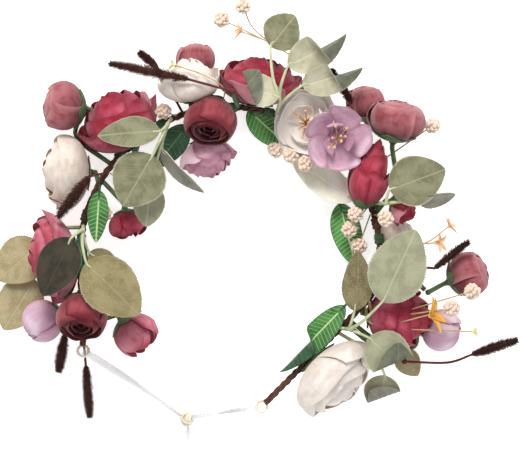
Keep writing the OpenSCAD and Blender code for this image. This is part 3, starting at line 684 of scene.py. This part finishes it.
for body, routes in STUBS.items():
    for route in routes:
        stems[body].tube(curve(route), STEM_R, 9, number=rng.uniform(0, 1))
stems["right_bud"].ball(spot([13, 124, 35]), FOOT_R)
for body, name, node in ((F, "front_stems", "front_bloom_stems"), (L, "left_stems", "left_bloom_stems"),
                         (R, "right_stems", "right_bloom_stems"),
                         ("right_bud", "right_bud_calyx", "right_bud_stem")):
    stems[body].make(name, [STEM], body, [node], "green_stem")


# ---- leaves
LEAF_ROWS, LEAF_COLS = 105, 9
LEAF_THICK = 0.45
TEETH = 32                  # along each side of a leaf
LEAF_WAVE = 0.03            # how far the rim waves, as a share of the width
TOOTH = 0.035               # a tooth's depth, as a share of the width
ROLL_R = 1.1                # of the roll along a fold's line
OVER_FROM, OVER_ALONG = 0.42, 0.22


def folded_back(x, y, length, where, lean):
    """Rolls the blade over a line: where along the leaf it crosses, and its turn."""
    n = math.cos(math.radians(lean)), math.sin(math.radians(lean))
    s = (x - where * length) * n[0] + y * n[1]
    arc = math.pi * ROLL_R
    rolled = np.clip(s, 0, arc) / ROLL_R
    on = np.where(s < arc, ROLL_R * np.sin(rolled), -(s - arc))
    up = np.where(s < arc, ROLL_R * (1 - np.cos(rolled)), 2 * ROLL_R + 0.12 * (s - arc))
    shift = np.where(s > 0, on - s, 0)
    return x + shift * n[0], y + shift * n[1], np.where(s > 0, up, 0)


def leaf(shape, base, angles, length, width, mats, cup=0.10, droop=0.10, teeth=TEETH, fold=None,
         over=0):
    """One leaf from its base, in the same angles as its solid. fold is (where, line's turn): beyond
    that line the leaf rolls over and shows its back. over is how far one half of the blade has
    folded across the other by the tip, in degrees: the left half when it is more than 0."""
    azimuth, pitch, roll = angles
    t, u = grid(LEAF_ROWS, LEAF_COLS)
    outline = np.sin(math.pi * np.clip(t, 0.004, 0.996) ** 0.8) ** 0.66
    half = width / 2 * np.maximum(outline, 0.03)
    if teeth:
        saw = 0.5 - (t * teeth) % 1
        half = half + np.where(np.abs(u) > 0.99, saw * TOOTH * width * np.minimum(1, 6 * t * (1 - t)), 0)
    x, y = length * t + 0 * u, half * u
    z = 0 * y
    phases = rng.uniform(0, 6.28, 3)
    if fold:
        x, y, z = folded_back(x, y, length, *fold)
    z = z + cup * np.abs(y) ** 1.3 / (width / 2) ** 0.3 - droop * x ** 2 / length
    one_way = np.sign(y + 1e-9 + 0.3 * np.sin(phases[1]))
    z = z + LEAF_WAVE * width * np.sin(x / length * 7 + phases[0]) * (y / (width / 2)) ** 2 * one_way
    if over:
        s = np.clip((t - OVER_FROM) / OVER_ALONG, 0, 1)
        phi = math.radians(over) * s * s * (3 - 2 * s) * (y * over > 0)
        y, z = y * np.cos(phi) - z * np.sin(phi), y * np.sin(phi) + z * np.cos(phi)
    p = fields(x, y, z) * MM @ (heading(azimuth, pitch) @ turn("x", roll)).T + spot(base)
    number = rng.uniform(0, 1)
    shape.sheet(p, fields(u, t, number), 0, fields(half * u, length * t, number), LEAF_THICK, mats[::-1])


def branch(route, i):
    """Where leaf i leaves its sprig's stem, as in the part."""
    end = spot(route[-1])
    return end if len(route) == 1 else end + i * 0.14 * (spot(route[-2]) - end)


def sprig(node, body, groups, slot="sage_leaf"):
    """Leaves and the stem they share. groups are (stem route, leaf rows); a row ends in its looks."""
    blades, stalk = Shape(), Shape()
    mats = []
    for route, rows in groups:
        if len(route) > 1:
            stalk.tube(curve(route), LEAF_STEM_R, 8, number=rng.uniform(0, 1))
        for i, (base, angles, length, width, top, back, looks) in enumerate(rows):
            for m in (top, back):
                if m not in mats:
                    mats.append(m)
            leaf(blades, base, angles, length, width, (mats.index(top), mats.index(back)), **looks)
            start, foot = branch(route, i), spot(base)
            ahead = heading(*angles[:2])[:, 0]
            reach = np.linalg.norm(foot - start)
            if reach > 0.5 * MM:
                mid = (start + foot) / 2 + np.array([0, 0, 0.10]) * reach - ahead * 0.08 * reach
                pts = smooth_route([start, mid, foot, foot + ahead * 4 * MM])
            else:
                pts = np.array([foot - ahead * MM, foot + ahead * 4 * MM])
            stalk.tube(pts, np.linspace(LEAF_STEM_R, 0.55, len(pts)), 8, number=rng.uniform(0, 1))
    blades.make(node + "_leaves", mats, body, [node], slot)
    stalk.make(node + "_stalks", [SAGE_STEM], body, [], slot)


sprig("left_sprig", F, [([[136, 93, 26], [138, 90, 46]], [
    ([150, 78, 50], [262, -3, 5], 36, 34, SAGE, GREY, dict(cup=0.06, droop=0.05)),
    ([142, 88, 52], [205, -2, 22], 38, 20, SAGE, DARK_GREY, dict(cup=0.16)),
    ([160, 66, 40], [286, -8, 0], 27, 20, LIGHT_SAGE, GREY, dict(cup=0.05)),
    ([145, 78, 42], [331, -8, 60], 37, 16, GREY, MIST, dict(cup=0.35, droop=0.12)),
])])
sprig("top_sprig", F, [([[95, 93, 26], [95, 100, 55]], [
    ([102, 131, 52], [75, -14, 8], 26, 24, SAGE, GREY, dict(cup=0.05)),
    ([96, 102, 58], [186, 3, 24], 33, 23, MIST, DARK_GREY, dict(fold=(0.55, 35), cup=0.08, droop=0.02)),
    ([96, 122, 56], [50, -4, 14], 40, 23, MIST, DARK_GREY, dict(cup=0.22, droop=0.14, over=150)),
    ([90, 114, 52], [38, 2, 18], 38, 21, MIST, DARK_GREY, dict(cup=0.22, droop=0.10, over=150)),
])])
sprig("right_sprig", F, [([[44, 94, 26], [42, 101, 50]], [
    ([46, 106, 53], [43, 1, 4], 36, 31, SAGE, GREY, dict(teeth=0, cup=0.05, droop=0.06)),
    ([40, 120, 48], [27, -6, 50], 24, 14, GREY, DARK_GREY, dict(cup=0.3)),
]), ([[52, 92, 25]], [
    ([48, 84, 27], [169, -4, 8], 45, 20, FROST, GREY, dict(cup=0.1)),
])])
sprig("left_arm_sprig", L, [([[191, 93, 26], [192, 91, 49]], [
    ([196, 97, 54], [267, 1, 4], 39, 26, SHADED_OLIVE, GREY, dict(teeth=0, cup=0.06, droop=0.04)),
    ([205, 87, 56.5], [339, 2, -5], 45, 34, KHAKI, GREY, dict(cup=0.06, droop=0.06)),
    ([201, 86, 44], [350, -8, 6], 22, 15, KHAKI, GREY, dict()),
])])
sprig("left_pale_leaves", L, [([[191.5, 93, 23], [194, 114, 9]], [
    ([199, 119, 9.5], [243, 3, 4], 35, 30, PALE, GREY, dict(cup=0.05, droop=0.03)),
    ([209.5, 124, 5], [262, 1, -3], 37, 28, PALE, GREY, dict(cup=0.05, droop=0.0)),
])], "pale_leaf")
sprig("right_arm_sprig", R, [([[350.5, 82, 26], [352, 86, 42]], [
    ([7, 97, 52], [88, 2, 4], 48, 35, LIGHT_SAGE, GREY, dict(cup=0.05, droop=0.05)),
    ([0, 83, 44], [107, 2, 30], 36, 22, SPECKLED, GREY, dict(cup=0.1)),
    ([353, 98, 47], [341, -2, -14], 36, 29, LIGHT_SAGE, DARK_GREY, dict(fold=(0.6, -25), cup=0.06, droop=0.02)),
])])
sprig("right_low_leaves", R, [([[348, 81.5, 22], [349, 106, 8]], [
    ([345.5, 122, 8], [283, 0, 4], 24, 23, LIGHT_SAGE, GREY, dict(fold=(0.55, 30), droop=0.0)),
    ([354, 121, 3.5], [330, 0, 0], 20, 16, PALE, GREY, dict(droop=0.0)),
])])


def green_leaves(node, body, rows):
    """Leaves without a shared stem. A row ends in whether its back is up, and its looks."""
    shape = Shape()
    for base, angles, length, width, back_up, looks in rows:
        leaf(shape, base, angles, length, width, (1, 0) if back_up else (0, 1), teeth=0, **looks)
        ahead, foot = heading(*angles[:2])[:, 0] * MM, spot(base)
        shape.tube([foot - 4 * ahead, foot, foot + 6 * ahead], [1.0, 0.8, 0.4], 8, 1)
    shape.make(node + "_blades", [GREEN, DARK_GREEN], body, [node], "green_leaf")


green_leaves("front_green_leaves", F, [
    ([106, 92, 19], [341, -4, 6], 36, 19, False, dict(cup=0.2)),
    ([49, 76, 16], [307, 0, 8], 41, 19, False, dict(cup=0.2, droop=0.05)),
    ([176, 90.5, 29.5], [289, 0, 0], 32, 13, False, dict(cup=0.2, droop=0.05)),
    ([131, 86, 20], [255, -3, 0], 34, 17, True, dict(cup=0.15)),
])
green_leaves("left_green_leaf", L, [([194.5, 93.5, 31], [296, 0, 0], 33, 8, True, dict(cup=0.2))])
green_leaves("right_green_leaf", R, [
    ([0, 77, 29.5], [249, 0, -6], 57, 17, False, dict(cup=0.3, droop=0.03, over=-150)),
])


# ---- spikes
BRISTLE_R = 0.17
HEAD_R = 1.3                # the bristles' reach, as a share of the solid's radius
BOW = np.array([0, 0, 1.2]) * MM


def spike(shape, route, tip, r, foot):
    """A thin stem and a head of bristles."""
    r = HEAD_R * r * MM
    pts = curve(route)
    start, end = pts[-1], spot(tip)
    shape.tube(pts, TWIG_R, 7, 1, number=rng.uniform(0, 1))
    if foot:
        shape.ball(pts[0], FOOT_R, 1, steps=(10, 8))
    axis = end - start
    ahead = unit(axis)
    side, up = around(ahead, [0.1, 0.2, 1])
    t = np.linspace(0, 1, 16)[:, None]
    centre = start - ahead * MM + t * (axis + ahead * MM) + np.sin(math.pi * t) * BOW
    core = 0.46 * r / MM * np.sin(math.pi * (0.04 + 0.94 * t[:, 0])) ** 0.5
    shape.tube(centre, core, 8, 0, number=rng.uniform(0, 1))
    for _ in range(1400):
        at = rng.uniform(0.0, 0.97)
        turn_by = rng.uniform(0, 2 * math.pi)
        out = math.cos(turn_by) * side + math.sin(turn_by) * up
        full = math.sin(math.pi * (0.06 + 0.9 * at)) ** 0.5
        root = start + at * axis + math.sin(math.pi * at) * BOW + out * 0.36 * r * full
        point = root + (out * rng.uniform(0.3, 0.8) + ahead * rng.uniform(0.1, 0.8)) * r * (0.35 + 0.75 * full)
        cross = unit(np.cross(out, ahead)) * BRISTLE_R * MM
        lift = unit(np.cross(cross, point - root)) * BRISTLE_R * MM
        v = np.array([root + cross, root - cross * 0.5 + lift, root - cross * 0.5 - lift, point])
        number = rng.uniform(0, 1)
        shape.add(v, [(0, 1, 3), (1, 2, 3), (2, 0, 3), (0, 2, 1)], 0, (0, 0.5, number), 0,
                  np.c_[np.zeros(4), [0, 0, 0, 2], np.full(4, number * 9)])


# Spikes: node, body, [(stem route, tip, radius)], whether it turns on a bead
for node, body, heads, posable in (
    ("top_spike", "top_spike", [([[112, 101, 57], [126, 111, 61]], [145, 139, 58], 3.4)], True),
    ("left_spike", "left_spike", [([[231, 104, 14], [240, 113, 12]], [252, 134, 9], 3.2)], True),
    ("right_spike", "right_spike", [([[352, 127, 10], [357, 151, 8], [1, 163, 11]], [7, 187, 14], 3.2)], True),
    ("front_short_spikes", F, [([[76, 93, 25], [75, 121, 40]], [85, 131, 42], 3.0),
                               ([[169, 93, 25], [173, 99, 47]], [190, 108, 44], 3.4),
                               ([[131, 93, 25], [134, 126, 20]], [137, 140, 16], 2.6)], False),
    ("left_short_spike", L, [([[220, 97, 22], [228, 113, 21]], [237, 129, 17], 3.2)], False),
    ("right_short_spike", R, [([[20, 93, 25], [20, 126, 40.5]], [27, 147, 48], 2.6)], False),
):
    shape = Shape()
    for head in heads:
        spike(shape, *head, posable)
    shape.make(node + "_bristles", [BRISTLE, SPIKE_STEM], body, [node], "spike_brown", sharp=80)


# ---- berries and seed stars
GOLDEN = math.pi * (3 - math.sqrt(5))
BERRY_R, GRAINS = 5.2, 30
STAR_POINTS, STAR_LEAN, STAR_BROAD = 5, 60, 0.42
BERRY_MATS = [BERRY, GOLD_STEM, STAR_GOLD, STAR_PALE, STAR_PEACH]
GOLD, PALE_STAR, PEACH = 2, 3, 4


def berry(shape, route):
    """A cluster of foam grains on a golden stem."""
    shape.tube(curve(route), 0.45, 7, 1, number=rng.uniform(0, 1))
    centre = spot(route[-1])
    shape.ball(centre, 0.62 * BERRY_R, 0, 0.3, steps=(10, 8))
    for i in range(GRAINS):
        z = 1 - 2 * (i + 0.5) / GRAINS
        w = math.sqrt(1 - z * z)
        d = np.array([w * math.cos(GOLDEN * i), w * math.sin(GOLDEN * i), z])
        size = BERRY_R * rng.uniform(0.24, 0.31)
        shape.ball(centre + d * BERRY_R * 0.76 * rng.uniform(0.86, 1.1) * MM, size, 0, rng.uniform(0, 1),
                   steps=(9, 7), squash=rng.uniform(0.8, 1.15, 3))


def star(shape, route, reach, mat):
    """Five small spoon-shaped petals at a thin stem's end."""
    pts = curve(route)
    shape.tube(pts, 0.4, 7, 1, number=rng.uniform(0, 1))
    centre, ahead = pts[-1], unit(pts[-1] - pts[-2])
    side, up = around(ahead, [0.2, 0.3, 1])
    shape.ball(centre, 0.9, mat)
    t, u = grid(9, 5)
    half = STAR_BROAD * reach * np.sin(math.pi * np.clip(t, 0.02, 0.97) ** 0.8) ** 0.8
    hollow = reach * (0.12 * u ** 2 * np.sin(math.pi * t) - 0.15 * t ** 2)
    for i in range(STAR_POINTS):
        w = 2 * math.pi * i / STAR_POINTS + rng.uniform(-0.2, 0.2)
        out = math.cos(w) * side + math.sin(w) * up
        lean = math.radians(STAR_LEAN + rng.uniform(-12, 12))
        way = ahead * math.cos(lean) + out * math.sin(lean)
        wide = unit(np.cross(way, ahead))
        spoon = np.array([way, wide, np.cross(wide, way)])
        p = centre + fields(t * reach, half * u * 0.5, hollow) @ spoon * MM
        number = rng.uniform(0, 1)
        shape.sheet(p, fields(u, t, number), 0, fields(u * 0.5, t * reach, number), 0.3, (mat, mat))


shape = Shape()
for route in ([[66, 91, 25], [90, 72, 29]], [[65, 91, 25], [82, 73, 34]], [[64, 91, 25], [74, 74, 38]],
              [[47, 91, 23], [42, 82, 36]], [[43, 91, 23], [36, 76, 31]], [[40, 91, 23], [28, 80, 27]],
              [[39.5, 93, 25], [37, 98, 51]], [[133.5, 93, 25], [137.5, 99, 34]], [[55, 93, 25], [56, 149, 30]],
              [[181, 91, 23], [184, 83, 22]], [[168, 91, 23], [169, 61, 27]]):
    berry(shape, route)
star(shape, [[116, 95, 25], [115, 103, 54], [121, 112, 57], [129, 122, 53]], 5, PALE_STAR)
shape.make("front_berries_grains", BERRY_MATS, F, ["front_berries"], "berry_cream")

SEED_FOOT = [90, 128, 18]
shape = Shape()
shape.ball(spot(SEED_FOOT), FOOT_R, 1, steps=(10, 8))
for route in ([SEED_FOOT, [106, 140, 26], [110, 155, 34]], [[98, 133, 20], [115, 147, 30]]):
    berry(shape, route)
star(shape, [[99, 134, 27], [110, 139, 37]], 7, PEACH)
shape.make("top_seed_grains", BERRY_MATS, "top_seed_sprig", ["top_seed_sprig"], "berry_cream")

shape = Shape()
for tip in ([15, 149, 51], [10, 139, 49]):
    berry(shape, [[8, 88, 25], [2, 100, 30], tip])
for route, reach, mat in (([[4, 88, 25], [358, 100, 30], [7, 127, 47]], 13, GOLD),
                          ([[4, 88, 25], [358, 100, 30], [6, 156, 42]], 5, PALE_STAR),
                          ([[27, 93, 25], [27, 119, 34], [31, 136, 36]], 7, PEACH),
                          ([[27, 93, 25], [27, 119, 34], [27, 128, 42]], 7, PEACH)):
    star(shape, route, reach, mat)
shape.make("right_seed_grains", BERRY_MATS, R, ["right_seed_sprig"], "berry_cream")


# ---- twig wire, tape and bindings
RING_R, RING_Z, WIRE_R = 93, 24, 2.2
RIGHT_BEND, LEFT_BEND = 36, 187
BEND_GAP = math.degrees(0.6 / RING_R)
TURN_ON = 18                # the arms' first stretch still follows the ring, in degrees
EYE_R, EYE_WIRE_R = 3.4, 0.9
EYE_OUT = EYE_R - EYE_WIRE_R / 2
STRANDS, STRAND_R, STRAND_OUT, TWIST_PITCH = 3, 1.12, 1.05, 16
TAPE_THICK, TAPE_PITCH = 0.55, 2.1


def ring_arc(a, b, n=90):
    w = np.radians(np.linspace(a, b, n))
    return np.c_[RING_R * np.cos(w), RING_R * np.sin(w), np.full(n, RING_Z)] * MM


def placed(points, angle, mirror):
    """Points beside the ring, x outwards from it, turned to an angle round the crown."""
    x, y = np.array(points, float).T
    spun = turn("z", angle) @ [x + RING_R, -y if mirror else y, 0 * x + RING_Z]
    return spun.T * MM


def right_path():
    corner_r, corner, straight = 35, 40, 86
    w = np.radians(np.linspace(0, corner, 24))[1:]
    bend = np.c_[corner_r * np.cos(w) - corner_r, corner_r * np.sin(w)]
    way = np.array([-math.sin(w[-1]), math.cos(w[-1])])
    tail = bend[-1] + np.linspace(0, straight, 40)[1:, None] * way
    eye = placed([bend[-1] + (straight + EYE_OUT) * way], RIGHT_BEND - TURN_ON, True)[0]
    arc = ring_arc(RIGHT_BEND - BEND_GAP, RIGHT_BEND - TURN_ON, 24)
    return np.vstack([arc, placed(np.vstack([bend, tail]), RIGHT_BEND - TURN_ON, True)]), eye


def left_path():
    straight = 52
    tail = np.c_[np.zeros(30), np.linspace(0, straight, 31)[1:]]
    eye = placed([[0, straight + EYE_OUT]], LEFT_BEND + TURN_ON, False)[0]
    arc = ring_arc(LEFT_BEND + BEND_GAP, LEFT_BEND + TURN_ON, 24)
    return np.vstack([arc, placed(tail, LEFT_BEND + TURN_ON, False)]), eye


def twisted(shape, path):
    """Strands of twig paper wound round each other along a path."""
    step = np.concatenate([[0], np.cumsum(np.linalg.norm(np.diff(path, axis=0), axis=1))]) / MM
    at = np.linspace(0, step[-1], max(int(step[-1] / 1.1), 12))
    p = np.array([np.interp(at, step, path[:, i]) for i in range(3)]).T
    t = unit(np.gradient(p, axis=0))
    side = unit(np.cross(t, [0, 0, 1]))
    up = np.cross(side, t)
    for k in range(STRANDS):
        w = (2 * math.pi * (at / TWIST_PITCH + k / STRANDS))[:, None]
        wobble = 1 + 0.08 * np.sin(at * 0.9 + k * 2)[:, None]
        pts = p + (np.cos(w) * side + np.sin(w) * up) * STRAND_OUT * MM * wobble
        r = STRAND_R + 0.10 * np.sin(at * 1.7 + k) + 0.05 * np.sin(at * 4.1 + 2 * k)
        shape.tube(pts, r, 8, number=k * 0.37 + 0.1)


def eye(shape, centre):
    w = np.linspace(0, 2 * math.pi, 33)
    ring = centre + np.c_[np.cos(w), np.sin(w), 0 * w] * EYE_R * MM
    shape.tube(ring, EYE_WIRE_R + 0.2 * np.sin(w * 11), 10, 1, number=0.6)


shape = Shape()
twisted(shape, ring_arc(RIGHT_BEND + BEND_GAP, LEFT_BEND - BEND_GAP))
shape.make("front_twisted_twig", [TWIG], F, ["front_twig_wire"], "twig_paper")
right_line, right_eye = right_path()
left_line, left_eye = left_path()
for line, ring, body, side in ((right_line, right_eye, R, "right"), (left_line, left_eye, L, "left")):
    shape = Shape()
    twisted(shape, line)
    eye(shape, ring)
    shape.make(side + "_twisted_twig", [TWIG, KNOT], body, [side + "_twig_wire"], "twig_paper")


def wound(shape, angle, length=6):
    """Tape wound in overlapping turns, thicker at each overlap."""
    half = math.degrees(length / 2 / RING_R)
    at = np.linspace(0, length, 30)
    steps = WIRE_R + TAPE_THICK + 0.28 * ((at / TAPE_PITCH) % 1) + 0.1 * np.sin(at * 2.3)
    steps[0] = steps[-1] = WIRE_R + 0.3
    shape.tube(ring_arc(angle - half, angle + half, 30), steps, 18, number=angle)


for node, body, angles in (("front_floral_tape", F, [70, 98, 112, 140, 160]),
                           ("left_floral_tape", L, [196, 203]), ("right_floral_tape", R, [23, 30])):
    shape = Shape()
    for angle in angles:
        wound(shape, angle)
    shape.make(node + "_turns", [TAPE], body, [node], "floral_tape")

for node, arm, angle, sign in (("left_bend_binding", L, LEFT_BEND, 1),
                               ("right_bend_binding", R, RIGHT_BEND, -1)):
    shape = Shape()
    wound(shape, angle, 7)
    ob = shape.make(node + "_turns", [BARK_WRAP], None, [node], "twig_paper")
    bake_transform(ob)


# ---- ribbon
KNOT_AT = spot([278, 105, 6])
RIBBON_W, RIBBON_THICK = 24, 0.12
LOWEST = 0.6 * MM
KNOT_R = 3.5
PLEATS = 5
TAIL_L = 90
TAIL_START, TAIL_OPEN = 3.5, 0.34


def ribbon(name, p, t, u, length, number, body, replaces):
    shape = Shape()
    shape.sheet(p, fields(u, t, number), 0, fields(u * RIBBON_W / 2, t * length, 0), RIBBON_THICK)
    return shape.make(name, [ORGANZA], body, replaces, "organza", sharp=70)


def strand(name, start, node):
    """Ribbon gathered into a strand: an accordion of pleats that opens a little in mid span."""
    end = KNOT_AT + unit(start - KNOT_AT) * KNOT_R * MM
    t, u = grid(46, 61)
    way = unit(end - start)
    side = unit(np.cross(way, [0, 0, 1]))
    up = np.cross(side, way)
    sag = -10 * MM * np.sin(math.pi * t) * (1 - 0.3 * t)
    x = (1.9 + 1.0 * np.sin(math.pi * t)) * MM * u
    y = 0.95 * MM * np.sin(u * math.pi * PLEATS + 0.5 * np.sin(5 * t))
    roll = 2.2 * t
    px, py = x * np.cos(roll) - y * np.sin(roll), x * np.sin(roll) + y * np.cos(roll)
    p = start + t[..., None] * (end - start) + px[..., None] * side + py[..., None] * up
    p[..., 2] = np.maximum(p[..., 2] + sag, LOWEST)
    length = np.linalg.norm(end - start) / MM
    ob = ribbon(name, p, t, u, length, 0, None, [node])
    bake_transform(ob)


def tail(i, azimuth):
    """Ribbon that opens out from the knot and lies on the table, with a notched end."""
    t, u = grid(50, 41)
    open_out = np.clip(t / TAIL_OPEN, 0, 1) ** 0.8
    notch = 0.08 * (1 - np.abs(u)) * np.clip((t - 0.5) / 0.5, 0, 1)
    x = TAIL_START + (TAIL_L - TAIL_START) * (t - notch)
    y = (1.6 + 10 * open_out) * u + 2 * np.sin(3 * t + i)
    fall = 4.3 * (1 - np.clip(t / 0.22, 0, 1)) ** 2
    folds = ((1 - open_out) * 1.8 + 0.7) * (1 + np.sin(u * 4.4 * math.pi + 1.5 * i + 2 * t)) * 0.5
    z = 0.9 + i * 0.5 + fall + folds + 1.3 * np.sin(9 * t + i) ** 2 * np.clip(t * 2, 0, 1)
    p = fields(x, y, z) * MM @ turn("z", azimuth).T + KNOT_AT * [1, 1, 0]
    ob = ribbon(f"ribbon_tail_{i + 1}", p, t, u, TAIL_L, i, F, ["ribbon_tails"] if i == 0 else [])


strand("left_ribbon_strand", left_eye, "left_ribbon_tie")
strand("right_ribbon_strand", right_eye, "right_ribbon_tie")
tail(0, 278)
tail(1, 303)

# The knot: three wraps round a ball, each with its azimuth, tilt, radius and width
shape = Shape()
for k, (azimuth, tilt, r, w) in enumerate(((188, 10, 3.6, 4.2), (8, 70, 4.0, 3.6), (98, 35, 4.3, 3.0))):
    t, u = grid(36, 9)
    ring = 2 * math.pi * t
    rr = (r + 0.25 * np.sin(3 * ring + k) + 0.35 * np.cos(u * math.pi * 2.5)) * (1 - 0.18 * u ** 2)
    p = fields(rr * np.cos(ring), rr * np.sin(ring), w / 2 * u) * MM @ facing(azimuth, tilt).T + KNOT_AT
    p[..., 2] = np.maximum(p[..., 2], LOWEST)
    shape.sheet(p, fields(u, t, 0), 0, fields(u * 6, ring * 4, 0), 0.3)
shape.ball(KNOT_AT, 3.2, steps=(14, 10))
shape.make("ribbon_knot_wraps", [KNOT], F, ["ribbon_knot"], "organza")
